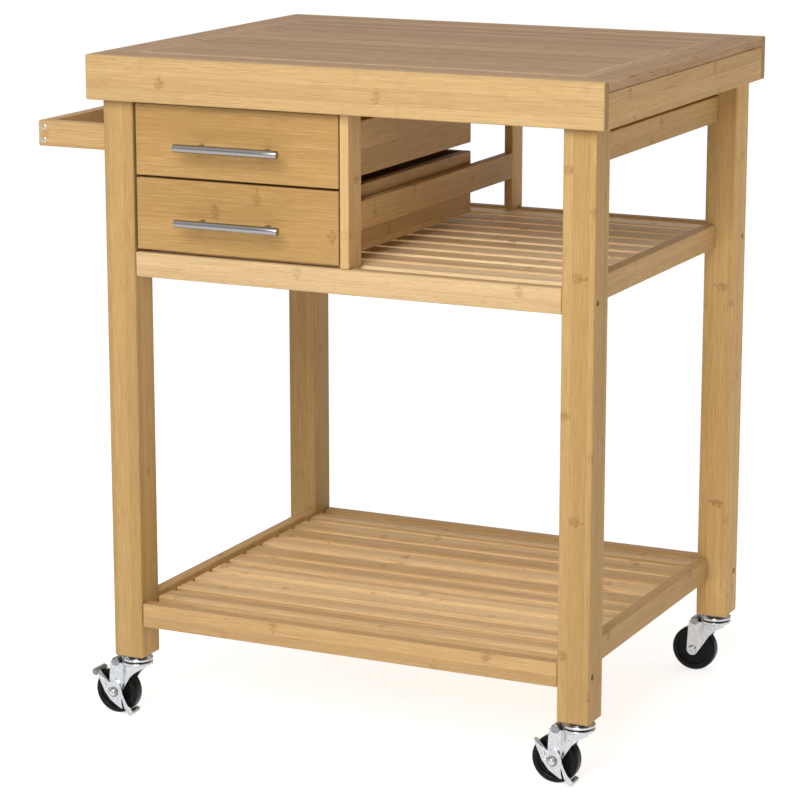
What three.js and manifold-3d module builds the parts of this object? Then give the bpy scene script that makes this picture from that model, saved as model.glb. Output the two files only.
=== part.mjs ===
// Rolling utility cart in bamboo: a thick worktop on four square legs, two drawers on the left,
// two slatted shelves, a towel rail on the left side and four swivel casters.
// Millimetres, +Z up, front towards -Y. Built about the middle of the leg frame, then moved so
// that the origin is the centre of the underside of the bounding box.
import * as THREE from "three";
import { mergeVertices } from "three/addons/utils/BufferGeometryUtils.js";
import Module from "manifold-3d";

const wasm = await Module();
wasm.setup();

// ---- driving dimensions ------------------------------------------------------------------
const FIT = 0.3; // gap left wherever two pieces meet
const EASE = 1.2; // small chamfer on the edges of every board

const TOP = { width: 680, depth: 560, z: 850, thick: 55, slab: 12, fascia: 12, band: 60 };
const TOP_GROOVE = { inset: 50, wide: 1.8, deep: 1.0 };
const CROSS_BATTEN = { x0: -24, x1: 32 };

const LEG = { outX: 325, outY: 265, sizeX: 41, sizeY: 44, foot: 82.5 };
const LEG_BOLT = { radius: 3.8, deep: 6, fromFace: 12 };

const RAIL = { high: 31, frontThick: 16, sideThick: 15, recess: 1.5 };
const MID_SHELF = { frontZ: 577, sideZ: 579, slatTop: 607 };
const LOW_SHELF = { frontZ: 125, sideZ: 131, slatTop: 155 };
const TOP_SIDE_RAIL = { z0: 744, gapAbove: 3 };
const SLAT = { count: 10, pitch: 47, wide: 33, thick: 10, firstY: -224 };
const CLEAT = { wide: 12, high: 12 };

const DIVIDER = { x0: -2, x1: 9.6, depth: 35, back: 262 };
const RUNNER = { high: 34.5, lowZ: 650.5, highZ: 748 };
const TONGUE = { high: 10, reachRight: 9, reachLeft: 11 };

const DRAWER = { centreX: -142.1, frontWidth: 277, frontHigh: 89, frontThick: 15, firstZ: 612, pitch: 92 };
const BOX = { width: 272, side: 12, high: 81, backY: 127, lift: 7, grooveZ: 51.5, grooveHigh: 12, grooveDeep: 6 };
const BOX_BOTTOM = { thick: 5, lift: 8, slot: 5 };
const PULL = { length: 141, radius: 5, spacing: 90, postRadius: 3, standoff: 26, heightOnFront: 40 };

const TOWEL = { reach: 103, thick: 15, frontY: 250, z0: 729, z1: 761 };

const CASTER = { trail: 28, wheelRadius: 30, wheelWidth: 18, hubRadius: 9, boreRadius: 3.35 };
const STEM = { radius: 5, long: 36, raceRadius: 20 };
const FORK = { inside: 10.6, plate: 2.2, dishRadius: 20 };
const AXLE = { radius: 3.2, headRadius: 6.2, headThick: 3.4 };
const BRAKE = { plate: 2, gap: 0.5 };

const SEGMENTS = 28;

// ---- colours -----------------------------------------------------------------------------
const paint = (color, roughness, metalness) => new THREE.MeshStandardMaterial({ color, roughness, metalness });
const BAMBOO = paint(0xd8b27a, 0.55, 0);
const BAMBOO_TOP = paint(0xb4916f, 0.5, 0);
const STEEL = paint(0xb9bbbd, 0.3, 1);
const ZINC = paint(0xa9adb2, 0.35, 1);
const BLACK = paint(0x18181a, 0.45, 0);

// ---- solid helpers -----------------------------------------------------------------------
// A closed three.js geometry as a manifold solid, ready for booleans.
function solid(geometry) {
  const plain = geometry.index ? geometry.toNonIndexed() : geometry;
  const bare = new THREE.BufferGeometry().setAttribute("position", plain.getAttribute("position"));
  const merged = mergeVertices(bare, 1e-4);
  return new wasm.Manifold(
    new wasm.Mesh({
      numProp: 3,
      vertProperties: new Float32Array(merged.attributes.position.array),
      triVerts: new Uint32Array(merged.index.array),
    }),
  );
}

// A manifold solid as a three.js geometry.
function geometryOf(body) {
  const mesh = body.getMesh();
  const positions = new Float32Array(mesh.numVert * 3);
  for (let i = 0; i < mesh.numVert; i++) {
    positions.set(mesh.vertProperties.subarray(i * mesh.numProp, i * mesh.numProp + 3), i * 3);
  }
  return new THREE.BufferGeometry()
    .setAttribute("position", new THREE.BufferAttribute(positions, 3))
    .setIndex(new THREE.BufferAttribute(new Uint32Array(mesh.triVerts), 1));
}

// A board that fills the given ranges, with every edge chamfered by `ease`.
function board([x0, x1], [y0, y1], [z0, z1], ease = EASE) {
  const hx = (x1 - x0) / 2;
  const hy = (y1 - y0) / 2;
  const outline = new THREE.Shape([
    new THREE.Vector2(-hx + ease, -hy),
    new THREE.Vector2(hx - ease, -hy),
    new THREE.Vector2(hx, -hy + ease),
    new THREE.Vector2(hx, hy - ease),
    new THREE.Vector2(hx - ease, hy),
    new THREE.Vector2(-hx + ease, hy),
    new THREE.Vector2(-hx, hy - ease),
    new THREE.Vector2(-hx, -hy + ease),
  ]);
  const geometry = new THREE.ExtrudeGeometry(outline, {
    depth: z1 - z0 - 2 * ease,
    bevelEnabled: true,
    bevelSize: ease,
    bevelThickness: ease,
    bevelOffset: -ease,
    bevelSegments: 1,
  });
  return geometry.translate((x0 + x1) / 2, (y0 + y1) / 2, z0 + ease);
}

// A plain block with sharp edges, for cuts and for pieces that are joined.
function block([x0, x1], [y0, y1], [z0, z1]) {
  return new THREE.BoxGeometry(x1 - x0, y1 - y0, z1 - z0).translate((x0 + x1) / 2, (y0 + y1) / 2, (z0 + z1) / 2);
}

// A round bar between two heights of one axis.
function bar(axis, radius, [from, to], [a, b], segments = SEGMENTS) {
  const geometry = new THREE.CylinderGeometry(radius, radius, to - from, segments);
  const middle = (from + to) / 2;
  if (axis === "x") {
    return geometry.rotateZ(-Math.PI / 2).translate(middle, a, b);
  }
  if (axis === "y") {
    return geometry.translate(a, middle, b);
  }
  return geometry.rotateX(Math.PI / 2).translate(a, b, middle);
}

// A turned piece about a vertical axis. The profile is [radius, height] pairs, anticlockwise.
function turned(profile, segments = SEGMENTS) {
  const points = profile.map(([r, z]) => new THREE.Vector2(r, z));
  return new THREE.LatheGeometry(points, segments).rotateX(Math.PI / 2);
}

// A flat plate cut from an outline of [x, z] pairs, standing across the Y axis.
function plate(outline, [y0, y1]) {
  const shape = new THREE.Shape(outline.map(([x, z]) => new THREE.Vector2(x, z)));
  const geometry = new THREE.ExtrudeGeometry(shape, { depth: y1 - y0, bevelEnabled: false });
  return geometry.rotateX(Math.PI / 2).translate(0, y1, 0);
}

// Points on an arc, for outlines. Angles are in degrees, anticlockwise.
function arc([cx, cz], radius, from, to, steps) {
  return Array.from({ length: steps + 1 }, (_, i) => {
    const angle = THREE.MathUtils.degToRad(from + ((to - from) * i) / steps);
    return [cx + radius * Math.cos(angle), cz + radius * Math.sin(angle)];
  });
}

const group = new THREE.Group();
group.name = "rolling_utility_cart";
const cart = new THREE.Group();
group.add(cart);

function add(name, geometry, material) {
  const mesh = new THREE.Mesh(geometry, material);
  mesh.name = name;
  cart.add(mesh);
}

// ---- places that several pieces share ----------------------------------------------------
const TOP_UNDER = TOP.z - TOP.thick;
const SLAB_UNDER = TOP.z - TOP.slab;
const LEG_IN_X = LEG.outX - LEG.sizeX;
const LEG_IN_Y = LEG.outY - LEG.sizeY;
const LEG_MID_X = LEG.outX - LEG.sizeX / 2;
const LEG_MID_Y = LEG.outY - LEG.sizeY / 2;
const RAIL_OUT_Y = LEG.outY - RAIL.recess;
const RAIL_IN_Y = RAIL_OUT_Y - RAIL.frontThick;
const HALF_WIDTH = TOP.width / 2;
const HALF_DEPTH = TOP.depth / 2;

// Mirrors a range of coordinates when the side is -1.
const span = (side, a, b) => (side > 0 ? [a, b] : [-b, -a]);

// ---- worktop -----------------------------------------------------------------------------
function grooveLoop() {
  const x = HALF_WIDTH - TOP_GROOVE.inset;
  const y = HALF_DEPTH - TOP_GROOVE.inset;
  const z = [TOP.z - TOP_GROOVE.deep, TOP.z + 1];
  const inner = solid(
    block([-x + TOP_GROOVE.wide, x - TOP_GROOVE.wide], [-y + TOP_GROOVE.wide, y - TOP_GROOVE.wide], [z[0] - 1, z[1] + 1]),
  );
  return solid(block([-x, x], [-y, y], z)).subtract(inner);
}

const slabY = HALF_DEPTH - TOP.fascia - FIT;
const slab = solid(board([-HALF_WIDTH, HALF_WIDTH], [-slabY, slabY], [SLAB_UNDER, TOP.z], 0.8));
add("worktop_slab", geometryOf(slab.subtract(grooveLoop())), BAMBOO_TOP);
for (const [name, side] of [["front", -1], ["back", 1]]) {
  const y = span(side, HALF_DEPTH - TOP.fascia, HALF_DEPTH);
  add(`worktop_${name}_board`, board([-HALF_WIDTH, HALF_WIDTH], y, [TOP_UNDER, TOP.z]), BAMBOO);
}
for (const [name, side] of [["left", -1], ["right", 1]]) {
  const x = span(side, HALF_WIDTH - TOP.band, HALF_WIDTH);
  add(`worktop_${name}_band`, board(x, [-slabY, slabY], [TOP_UNDER, SLAB_UNDER - FIT]), BAMBOO);
}
add(
  "worktop_cross_batten",
  board([CROSS_BATTEN.x0, CROSS_BATTEN.x1], [-slabY, slabY], [TOP_UNDER, SLAB_UNDER - FIT]),
  BAMBOO,
);

// ---- legs, each bored for its caster stem and for two frame bolts -------------------------
const CORNERS = [
  ["front_left", -1, -1],
  ["front_right", 1, -1],
  ["back_left", -1, 1],
  ["back_right", 1, 1],
];
const boltHeights = [MID_SHELF.frontZ + RAIL.high / 2, LOW_SHELF.frontZ + RAIL.high / 2];

for (const [name, sx, sy] of CORNERS) {
  const x = span(sx, LEG_IN_X, LEG.outX);
  const y = span(sy, LEG_IN_Y, LEG.outY);
  let leg = solid(board(x, y, [LEG.foot, TOP_UNDER - FIT], 1.6));
  const stemBore = bar("z", STEM.radius + FIT, [LEG.foot - 1, LEG.foot + STEM.long + 1], [sx * LEG_MID_X, sy * LEG_MID_Y], 24);
  leg = leg.subtract(solid(stemBore));
  for (const z of boltHeights) {
    const bore = bar("x", LEG_BOLT.radius, span(sx, LEG.outX - LEG_BOLT.deep, LEG.outX + 1), [sy * (LEG.outY - LEG_BOLT.fromFace), z], 20);
    leg = leg.subtract(solid(bore));
  }
  add(`leg_${name}`, geometryOf(leg), BAMBOO);
}

// ---- side rails under the worktop; the left one also carries the upper drawer --------------
const boxFoot = (level) => DRAWER.firstZ + level * DRAWER.pitch + BOX.lift;
const tongueZ = (level) => boxFoot(level) + BOX.grooveZ;
const sideY = [-LEG_IN_Y + FIT, LEG_IN_Y - FIT];

// The wooden tongue a drawer slides on, standing out from the face at x towards the drawer.
function tongue(x, reach, [y0, y1], level) {
  const z = tongueZ(level);
  const xs = reach > 0 ? [x - 1, x + reach] : [x + reach, x + 1];
  return solid(block(xs, [y0, y1], [z - TONGUE.high / 2, z + TONGUE.high / 2]));
}

const sideX = (side) => span(side, LEG_IN_X, LEG_IN_X + RAIL.sideThick);
const tongueY = [-LEG_IN_Y + 6, BOX.backY - 2];
const topRailZ = [TOP_SIDE_RAIL.z0, TOP_UNDER - TOP_SIDE_RAIL.gapAbove];
const topLeft = solid(board(sideX(-1), sideY, topRailZ));
add("top_side_rail_left", geometryOf(topLeft.add(tongue(-LEG_IN_X, TONGUE.reachLeft, tongueY, 1))), BAMBOO);
add("top_side_rail_right", board(sideX(1), sideY, topRailZ), BAMBOO);

// ---- divider posts and the runners that carry the drawers ----------------------------------
const dividerX = [DIVIDER.x0, DIVIDER.x1];
const dividerFoot = MID_SHELF.frontZ + RAIL.high + FIT;
add(
  "divider_post_front",
  board(dividerX, [-RAIL_OUT_Y, -RAIL_OUT_Y + DIVIDER.depth], [dividerFoot, TOP_UNDER - FIT], 0.8),
  BAMBOO,
);
add(
  "divider_post_back",
  board(dividerX, [DIVIDER.back - DIVIDER.depth, DIVIDER.back], [dividerFoot, TOP_UNDER - FIT], 0.8),
  BAMBOO,
);

const dividerInside = [-RAIL_OUT_Y + DIVIDER.depth + FIT, DIVIDER.back - DIVIDER.depth - FIT];
const runners = [
  ["lower", RUNNER.lowZ, 0],
  ["upper", RUNNER.highZ, 1],
];
for (const [name, z, level] of runners) {
  const rail = solid(board(dividerX, dividerInside, [z, z + RUNNER.high], 0.8));
  const rib = tongue(DIVIDER.x0, -TONGUE.reachRight, tongueY, level);
  add(`drawer_runner_right_${name}`, geometryOf(rail.add(rib)), BAMBOO);
}
const leftRunner = solid(board(sideX(-1), sideY, [RUNNER.lowZ, RUNNER.lowZ + RUNNER.high], 0.8));
add("drawer_runner_left_lower", geometryOf(leftRunner.add(tongue(-LEG_IN_X, TONGUE.reachLeft, tongueY, 0))), BAMBOO);

// ---- two slatted shelves -------------------------------------------------------------------
function slatRack(slatTop) {
  const endX = LEG_IN_X - FIT;
  const under = slatTop - SLAT.thick;
  let rack = null;
  for (let i = 0; i < SLAT.count; i++) {
    const y = SLAT.firstY + i * SLAT.pitch;
    const slat = solid(board([-endX, endX], [y, y + SLAT.wide], [under, slatTop], 1));
    rack = rack ? rack.add(slat) : slat;
  }
  for (const side of [-1, 1]) {
    const x = span(side, endX - CLEAT.wide, endX);
    const cleat = block(x, [-RAIL_IN_Y + FIT, RAIL_IN_Y - FIT], [under - CLEAT.high + 2, under + 2]);
    rack = rack.add(solid(cleat));
  }
  return geometryOf(rack);
}

function shelf(name, { frontZ, sideZ, slatTop }) {
  const alongX = [-LEG_IN_X + FIT, LEG_IN_X - FIT];
  for (const [where, side] of [["front", -1], ["back", 1]]) {
    add(`${name}_rail_${where}`, board(alongX, span(side, RAIL_IN_Y, RAIL_OUT_Y), [frontZ, frontZ + RAIL.high]), BAMBOO);
  }
  for (const [where, side] of [["left", -1], ["right", 1]]) {
    add(`${name}_rail_${where}`, board(sideX(side), sideY, [sideZ, sideZ + RAIL.high]), BAMBOO);
  }
  add(`${name}_slats`, slatRack(slatTop), BAMBOO);
}
shelf("middle_shelf", MID_SHELF);
shelf("lower_shelf", LOW_SHELF);

// ---- drawers -------------------------------------------------------------------------------
function drawer(name, level) {
  const z0 = DRAWER.firstZ + level * DRAWER.pitch;
  const cx = DRAWER.centreX;
  const faceY = -RAIL_OUT_Y;
  const boxFront = faceY + DRAWER.frontThick + FIT;
  const boxZ = boxFoot(level);
  const boxTop = boxZ + BOX.high;
  const half = BOX.width / 2;
  const frontX = [cx - DRAWER.frontWidth / 2, cx + DRAWER.frontWidth / 2];
  add(`${name}_front`, board(frontX, [faceY, faceY + DRAWER.frontThick], [z0, z0 + DRAWER.frontHigh]), BAMBOO);

  const floorZ = boxZ + BOX_BOTTOM.lift;
  const floorX = [cx - half + BOX.side - BOX_BOTTOM.slot + FIT, cx + half - BOX.side + BOX_BOTTOM.slot - FIT];
  const floor = [floorZ, floorZ + BOX_BOTTOM.thick];
  const slotZ = [floor[0] - FIT, floor[1] + FIT];
  const grooveZ = [tongueZ(level) - BOX.grooveHigh / 2, tongueZ(level) + BOX.grooveHigh / 2];
  for (const [where, side] of [["left", -1], ["right", 1]]) {
    const outer = cx + side * half;
    const inner = outer - side * BOX.side;
    const xs = side > 0 ? [inner, outer] : [outer, inner];
    let wall = solid(board(xs, [boxFront, BOX.backY], [boxZ, boxTop], 0.8));
    const slotX = side > 0 ? [inner - 1, inner + BOX_BOTTOM.slot] : [inner - BOX_BOTTOM.slot, inner + 1];
    wall = wall.subtract(solid(block(slotX, [boxFront - 1, BOX.backY + 1], slotZ)));
    const grooveX = side > 0 ? [outer - BOX.grooveDeep, outer + 1] : [outer - 1, outer + BOX.grooveDeep];
    wall = wall.subtract(solid(block(grooveX, [boxFront + 10, BOX.backY + 1], grooveZ)));
    add(`${name}_side_${where}`, geometryOf(wall), BAMBOO);
  }
  const backX = [cx - half + BOX.side + FIT, cx + half - BOX.side - FIT];
  add(`${name}_back`, board(backX, [BOX.backY - BOX.side, BOX.backY], [floor[1] + FIT, boxTop], 0.8), BAMBOO);
  add(`${name}_bottom`, block(floorX, [boxFront + FIT, BOX.backY - 0.5], floor), BAMBOO);

  const pullY = faceY - PULL.standoff;
  const pullZ = z0 + PULL.heightOnFront;
  let pull = solid(bar("x", PULL.radius, [cx - PULL.length / 2, cx + PULL.length / 2], [pullY, pullZ]));
  for (const side of [-1, 1]) {
    const x = cx + (side * PULL.spacing) / 2;
    pull = pull.add(solid(bar("y", PULL.postRadius, [pullY, faceY - FIT], [x, pullZ], 20)));
  }
  add(`${name}_pull`, geometryOf(pull), STEEL);
}
drawer("lower_drawer", 0);
drawer("upper_drawer", 1);

// ---- towel rail on the left side -----------------------------------------------------------
const towelX = [-LEG.outX - TOWEL.reach, -LEG.outX - FIT];
const towelZ = [TOWEL.z0, TOWEL.z1];
for (const [name, side] of [["front", -1], ["back", 1]]) {
  add(`towel_arm_${name}`, board(towelX, span(side, TOWEL.frontY - TOWEL.thick, TOWEL.frontY), towelZ), BAMBOO);
}
const towelInside = TOWEL.frontY - TOWEL.thick - FIT;
add("towel_bar", board([towelX[0], towelX[0] + TOWEL.thick], [-towelInside, towelInside], towelZ), BAMBOO);

// ---- casters -------------------------------------------------------------------------------
// Each is drawn with its swivel axis at the origin and its wheel trailing towards -X.
const wheelX = -CASTER.trail;
const wheelZ = CASTER.wheelRadius;

// Threaded stem with the fixed upper race under the leg.
function stemAndRace() {
  return turned(
    [
      [0, 73.4],
      [17.5, 73.4],
      [STEM.raceRadius, 75.2],
      [STEM.raceRadius, 77.6],
      [STEM.raceRadius - 1.6, 77.6],
      [STEM.raceRadius - 2.2, 76.2],
      [12, 76.2],
      [12, LEG.foot - FIT],
      [STEM.radius, LEG.foot - FIT],
      [STEM.radius, LEG.foot + STEM.long - 1],
      [STEM.radius - 1, LEG.foot + STEM.long],
      [0, LEG.foot + STEM.long],
    ],
    24,
  );
}

// Pressed fork: a dished crown, a bridge, two cheeks that reach down to the axle and a cross pin.
function fork() {
  const dish = turned(
    [
      [0, 66],
      [16, 66],
      [FORK.dishRadius, 68.5],
      [FORK.dishRadius, 71],
      [18.5, 72.6],
      [0, 72.6],
    ],
    24,
  );
  const outside = FORK.inside + FORK.plate;
  let body = solid(dish);
  body = body.add(solid(block([wheelX - 5, 0], [-outside, outside], [67.2, 69.6])));
  const cheek = [
    ...arc([wheelX, wheelZ], 7.8, 180, 325, 8),
    [-3, 54],
    [9, 62],
    [16.5, 67],
    [16.5, 69.6],
    [wheelX - 6.5, 69.6],
  ];
  for (const y of [-outside, FORK.inside]) {
    body = body.add(solid(plate(cheek, [y, y + FORK.plate])));
  }
  body = body.add(solid(bar("y", 4.7, [-outside - 1.2, outside + 1.2], [wheelX - 2.5, 71.4], 20)));
  for (const y of [-outside - 1, FORK.inside - 1]) {
    body = body.subtract(solid(bar("y", AXLE.radius + FIT, [y, y + FORK.plate + 2], [wheelX, wheelZ], 20)));
  }
  return geometryOf(body);
}

// Moulded wheel with a rounded tread, a recessed web and a hub, bored for the axle.
function wheel() {
  const half = CASTER.wheelWidth / 2;
  const r = CASTER.wheelRadius;
  const tyre = turned([
    [CASTER.boreRadius, -half - 0.8],
    [CASTER.hubRadius - 2, -half - 0.8],
    [CASTER.hubRadius, -half + 2.5],
    [r - 8, -half + 2.5],
    [r - 6.5, -half],
    [r - 3, -half],
    [r, -half + 3.5],
    [r, half - 3.5],
    [r - 3, half],
    [r - 6.5, half],
    [r - 8, half - 2.5],
    [CASTER.hubRadius, half - 2.5],
    [CASTER.hubRadius - 2, half + 0.8],
    [CASTER.boreRadius, half + 0.8],
    [CASTER.boreRadius, -half - 0.8],
  ]);
  return tyre.rotateX(Math.PI / 2).translate(wheelX, 0, wheelZ);
}

// Axle bolt through the fork, with a domed head behind and a nut in front.
function axle(reach) {
  const outside = FORK.inside + FORK.plate + FIT;
  let bolt = solid(bar("y", AXLE.radius, [-reach - AXLE.headThick, outside + 1], [wheelX, wheelZ], 20));
  bolt = bolt.add(solid(bar("y", AXLE.headRadius, [outside, outside + AXLE.headThick], [wheelX, wheelZ], 20)));
  bolt = bolt.add(solid(bar("y", AXLE.headRadius - 0.6, [-reach - AXLE.headThick + 0.6, -reach], [wheelX, wheelZ], 6)));
  return geometryOf(bolt);
}

// Rocking brake lever on the outer cheek, with a toe tab bent out at each end.
function brakeLever() {
  const back = -(FORK.inside + FORK.plate + BRAKE.gap);
  const front = back - BRAKE.plate;
  const outline = [
    [wheelX - 24, wheelZ + 19],
    [wheelX - 14, wheelZ + 1],
    [wheelX + 3, wheelZ - 14],
    [wheelX + 15, wheelZ - 22],
    [wheelX + 18.5, wheelZ - 18],
    [wheelX + 11, wheelZ - 3],
    [wheelX + 6, wheelZ + 9],
    [wheelX - 5, wheelZ + 12],
    [wheelX - 19, wheelZ + 22],
  ];
  let lever = solid(plate(outline, [front, back]));
  const toe = new THREE.BoxGeometry(8, 10, 2.2).rotateY(-Math.PI / 5).translate(wheelX - 22.5, front - 3.6, wheelZ + 20.2);
  const heel = new THREE.BoxGeometry(7, 8, 2.2).rotateY(-Math.PI / 3.4).translate(wheelX + 15.8, front - 2.6, wheelZ - 19.2);
  lever = lever.add(solid(toe)).add(solid(heel));
  lever = lever.subtract(solid(bar("y", AXLE.radius + FIT, [front - 1, back + 1], [wheelX, wheelZ], 20)));
  return geometryOf(lever);
}

for (const [name, sx, sy] of CORNERS) {
  const x = sx * LEG_MID_X;
  const y = sy * LEG_MID_Y;
  const braked = sy < 0;
  const cheekFace = FORK.inside + FORK.plate;
  const nutReach = braked ? cheekFace + BRAKE.gap + BRAKE.plate + FIT : cheekFace + FIT;
  add(`caster_${name}_stem`, stemAndRace().translate(x, y, 0), ZINC);
  add(`caster_${name}_fork`, fork().translate(x, y, 0), ZINC);
  add(`caster_${name}_axle`, axle(nutReach).translate(x, y, 0), ZINC);
  add(`caster_${name}_wheel`, wheel().translate(x, y, 0), BLACK);
  if (braked) {
    add(`caster_${name}_brake`, brakeLever().translate(x, y, 0), ZINC);
  }
}

// ---- origin at the centre of the underside of the bounding box -------------------------------
const box = new THREE.Box3().setFromObject(cart);
cart.position.set(-(box.min.x + box.max.x) / 2, -(box.min.y + box.max.y) / 2, -box.min.z);

export default group;
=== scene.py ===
"""Looks of the rolling utility cart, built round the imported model. Metres, +Z up, front towards -Y."""
import math

import bmesh
import bpy
from mathutils import Matrix, Vector


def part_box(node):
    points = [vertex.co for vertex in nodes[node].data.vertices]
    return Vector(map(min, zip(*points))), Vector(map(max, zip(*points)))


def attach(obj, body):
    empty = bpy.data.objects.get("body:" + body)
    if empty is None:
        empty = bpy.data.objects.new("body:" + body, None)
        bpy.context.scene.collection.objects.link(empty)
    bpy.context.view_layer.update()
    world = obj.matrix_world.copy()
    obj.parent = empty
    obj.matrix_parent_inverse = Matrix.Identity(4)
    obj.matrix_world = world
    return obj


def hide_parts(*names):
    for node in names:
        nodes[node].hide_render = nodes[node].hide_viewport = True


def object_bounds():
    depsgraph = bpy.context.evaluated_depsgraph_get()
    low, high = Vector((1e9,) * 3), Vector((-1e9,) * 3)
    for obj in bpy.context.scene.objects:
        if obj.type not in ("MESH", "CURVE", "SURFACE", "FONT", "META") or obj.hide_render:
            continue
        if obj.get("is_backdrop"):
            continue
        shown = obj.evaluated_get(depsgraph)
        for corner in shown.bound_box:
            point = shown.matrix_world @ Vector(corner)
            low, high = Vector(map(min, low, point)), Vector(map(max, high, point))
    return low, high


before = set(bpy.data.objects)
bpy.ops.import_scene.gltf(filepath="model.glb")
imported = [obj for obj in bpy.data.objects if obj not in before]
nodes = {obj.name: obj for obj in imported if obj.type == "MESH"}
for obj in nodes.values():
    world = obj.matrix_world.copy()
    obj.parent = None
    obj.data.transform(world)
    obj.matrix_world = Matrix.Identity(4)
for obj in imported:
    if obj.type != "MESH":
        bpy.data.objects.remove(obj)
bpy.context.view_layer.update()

# ---- driving dimensions, in metres -------------------------------------------------------
MM = 0.001
CORNERS = ("front_left", "front_right", "back_left", "back_right")
SLAT_BOARDS = (0.047, -0.2237)  # the shelf slats' pitch, and where the first one starts along Y
EDGE_ANGLE = math.radians(30)  # edges sharper than this are rounded
WORKTOP = {
    "border": 0.050,  # width of the mitred boards round the centre panel
    "fascia": 0.0123,  # from the slab's long edge out to the fascia's face, where the mitres aim
    "joint": 0.0002,  # half the gap between two boards
    # The pale line round the centre panel is a painted highlight, where the groove between panel and boards
    # catches light.
    "highlight_line": 0.0016,  # width of the pale line
    "highlight_line_deep": 0.004,
    "highlight_line_proud": 0.0001,
}
# The side rails are rebated along the top, and the left one carries a tongue for the upper drawer.
REBATE = {"z": 777 * MM, "deep": 9 * MM}
TONGUE = {"z": (757.5 * MM, 767.5 * MM), "back": 132.25 * MM, "front_gap": 5.7 * MM}
PULL = {"radius": 5 * MM, "post": 3 * MM, "post_at": 45 * MM}
BOLT = {"radius": 3.4 * MM, "inset": 0.012, "sunk": 0.0042}
SCREW = {"radius": 3.4 * MM, "flat": 0.0026, "from_end": 0.0075, "from_edge": 0.008}
TRAIL = 28 * MM  # from a caster's swivel axis back to its axle
AXLE_Z = 30 * MM
WHEEL = {"radius": 30, "half": 9, "shoulder": 4.4}  # in millimetres
# A fork cheek's outer faces, in millimetres: at the wheel, behind the fold, and at the round crown.
CHEEK = {"wheel": 12.8, "behind": 11.4, "crown": 19.4, "plate": 1.9, "top": 69.6, "front": 16.5, "lean": 2.2}
FOLD, VALLEY = -19.2, -17.8  # where the cheek steps inwards, in millimetres from the swivel axis

# ---- camera ------------------------------------------------------------------------------
CAMERA = {"at": (1.6161, -3.3997, 1.2527), "yaw": 25.432, "pitch": 12.895, "lens": 134.66}

# ---- colours, as sRGB from 0 to 255 ------------------------------------------------------
FASCIA_TONES = ((186, 155, 108), (166, 134, 89))
LEG_TONES = ((182, 149, 98), (158, 126, 76))
RAIL_TONES = ((188, 154, 106), (164, 131, 85))
# Paler copy of the rail tones: painted light on the middle shelf's front rail.
RAIL_PAINTED_LIGHT_TONES = ((202, 173, 131), (180, 150, 107))
SLAT_TONES = ((216, 183, 135), (176, 141, 95))
# Paler copy of the slat tones: painted light on the middle shelf's slats in the bay under the worktop.
MIDDLE_SLAT_PAINTED_LIGHT_TONES = ((234, 206, 164), (204, 172, 128))
# Darker and more golden than the fascia: the golden hue is the fronts' own, the darkness partly painted
# shade under the worktop's overhang.
FRONT_TONES = ((172, 137, 84), (154, 119, 69))
# Lit and shaded copies of the leg tones: the paler one is painted light on the back right leg, the browner
# one painted shade on the back left leg.
LEG_PAINTED_LIGHT_TONES = ((202, 166, 110), (178, 143, 88))
LEG_PAINTED_SHADE_TONES = ((174, 141, 91), (149, 118, 70))
# Paler than the legs: painted light on the divider posts, whose fronts the lamps leave in shade.
POST_PAINTED_LIGHT_TONES = ((204, 169, 118), (182, 148, 99))
# Pale tones for the line round the top's centre panel: painted highlight where the groove catches light.
GROOVE_HIGHLIGHT_TONES = ((222, 194, 150), (206, 176, 132))
# Darker and greyer than the other boards: painted shade and a painted grey sheen on the worktop's top face.
TOP_PAINTED_SHADE_TONES = ((180, 147, 112), (148, 116, 83))


def linear(rgb):
    """A colour's linear value with alpha, from sRGB given as 0 to 255."""
    values = []
    for part in rgb:
        c = part / 255
        values.append(c / 12.92 if c <= 0.04045 else ((c + 0.055) / 1.055) ** 2.4)
    return (*values, 1.0)


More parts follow.
